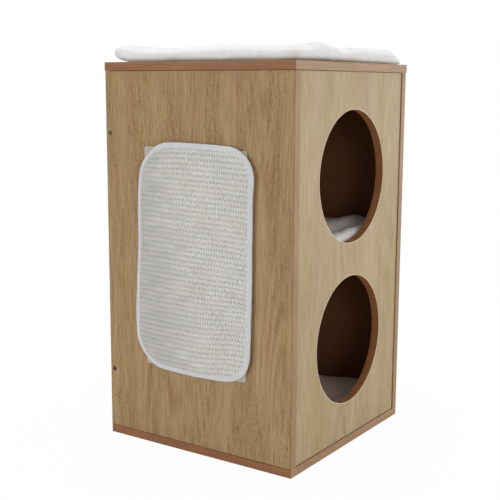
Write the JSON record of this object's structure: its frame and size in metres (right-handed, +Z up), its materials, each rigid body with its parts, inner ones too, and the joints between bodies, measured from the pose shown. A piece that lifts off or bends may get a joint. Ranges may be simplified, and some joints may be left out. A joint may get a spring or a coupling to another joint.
{
  "type": "cat house",
  "caption": "Two-storey board cat house with round doorways, a cushion on each level and a bound woven scratch pad on the left side.",
  "frame": {"origin": "middle of the underside of the carcass, on the floor plane", "axes": "+Z up, the doorways face -Y, the scratch pad is on the -X side"},
  "size_m": [0.4167, 0.407, 0.7273],
  "materials": {
    "oak_board": "satin melamine facing printed with straight oak grain",
    "edge_band": "matte red-brown edge band",
    "white_plush": "short white plush",
    "woven_sisal": "coarse woven cords, off-white",
    "binding_tape": "smooth off-white tape",
    "backing_felt": "thin grey-white felt",
    "hook_tape": "translucent white hook tape",
    "loop_tape": "white loop tape",
    "bronzed_steel": "bronzed steel screws",
    "zinc_steel": "zinc-plated steel",
    "zinc_casting": "dull zinc casting",
    "beech": "plain turned beech"
  },
  "bodies": {
    "house": {"top_panel": "oak_board", "base_panel": "oak_board", "left_side_panel": "oak_board", "right_side_panel": "oak_board", "front_panel": "oak_board", "back_panel": "oak_board", "middle_shelf": "oak_board", "top_edge_band_front": "edge_band", "top_edge_band_back": "edge_band", "top_edge_band_left": "edge_band", "top_edge_band_right": "edge_band", "base_edge_band_front": "edge_band", "base_edge_band_back": "edge_band", "base_edge_band_left": "edge_band", "base_edge_band_right": "edge_band", "left_side_edge_band": "edge_band", "right_side_edge_band": "edge_band", "upper_doorway_edge_band": "edge_band", "lower_doorway_edge_band": "edge_band", "back_screw_left_upper": "bronzed_steel", "back_screw_left_lower": "bronzed_steel", "back_screw_right_upper": "bronzed_steel", "back_screw_right_lower": "bronzed_steel", "base_screw_left_front": "bronzed_steel", "base_screw_left_back": "bronzed_steel", "base_screw_right_front": "bronzed_steel", "base_screw_right_back": "bronzed_steel", "cam_bolt_left_front": "zinc_steel", "cam_bolt_left_back": "zinc_steel", "cam_bolt_right_front": "zinc_steel", "cam_bolt_right_back": "zinc_steel", "cam_lock_left_front": "zinc_casting", "cam_lock_left_back": "zinc_casting", "cam_lock_right_front": "zinc_casting", "cam_lock_right_back": "zinc_casting", "shelf_dowel_left_front": "beech", "shelf_dowel_left_back": "beech", "shelf_dowel_right_front": "beech", "shelf_dowel_right_back": "beech", "front_dowel_lower_left": "beech", "front_dowel_lower_right": "beech", "front_dowel_upper_left": "beech", "front_dowel_upper_right": "beech", "hook_tab_upper_front": "hook_tape", "hook_tab_upper_back": "hook_tape", "hook_tab_lower_front": "hook_tape", "hook_tab_lower_back": "hook_tape"},
    "top_cushion": {"top_cushion": "white_plush"},
    "upper_cushion": {"upper_cushion": "white_plush"},
    "lower_cushion": {"lower_cushion": "white_plush"},
    "scratch_pad": {"scratch_mat": "woven_sisal", "scratch_pad_binding": "binding_tape", "scratch_pad_backing": "backing_felt", "loop_tab_upper_front": "loop_tape", "loop_tab_upper_back": "loop_tape", "loop_tab_lower_front": "loop_tape", "loop_tab_lower_back": "loop_tape"}
  },
  "joints": [
    {"name": "top_cushion_lift", "type": "slide", "parent": "house", "child": "top_cushion", "axis": [0, 0, 1], "range_m": [0, 0.15]},
    {"name": "upper_cushion_lift", "type": "slide", "parent": "house", "child": "upper_cushion", "axis": [0, 0, 1], "range_m": [0, 0.15]},
    {"name": "lower_cushion_lift", "type": "slide", "parent": "house", "child": "lower_cushion", "axis": [0, 0, 1], "range_m": [0, 0.15]},
    {"name": "scratch_pad_pull", "type": "slide", "parent": "house", "child": "scratch_pad", "axis": [-1, 0, 0], "range_m": [0, 0.1]}
  ]
}
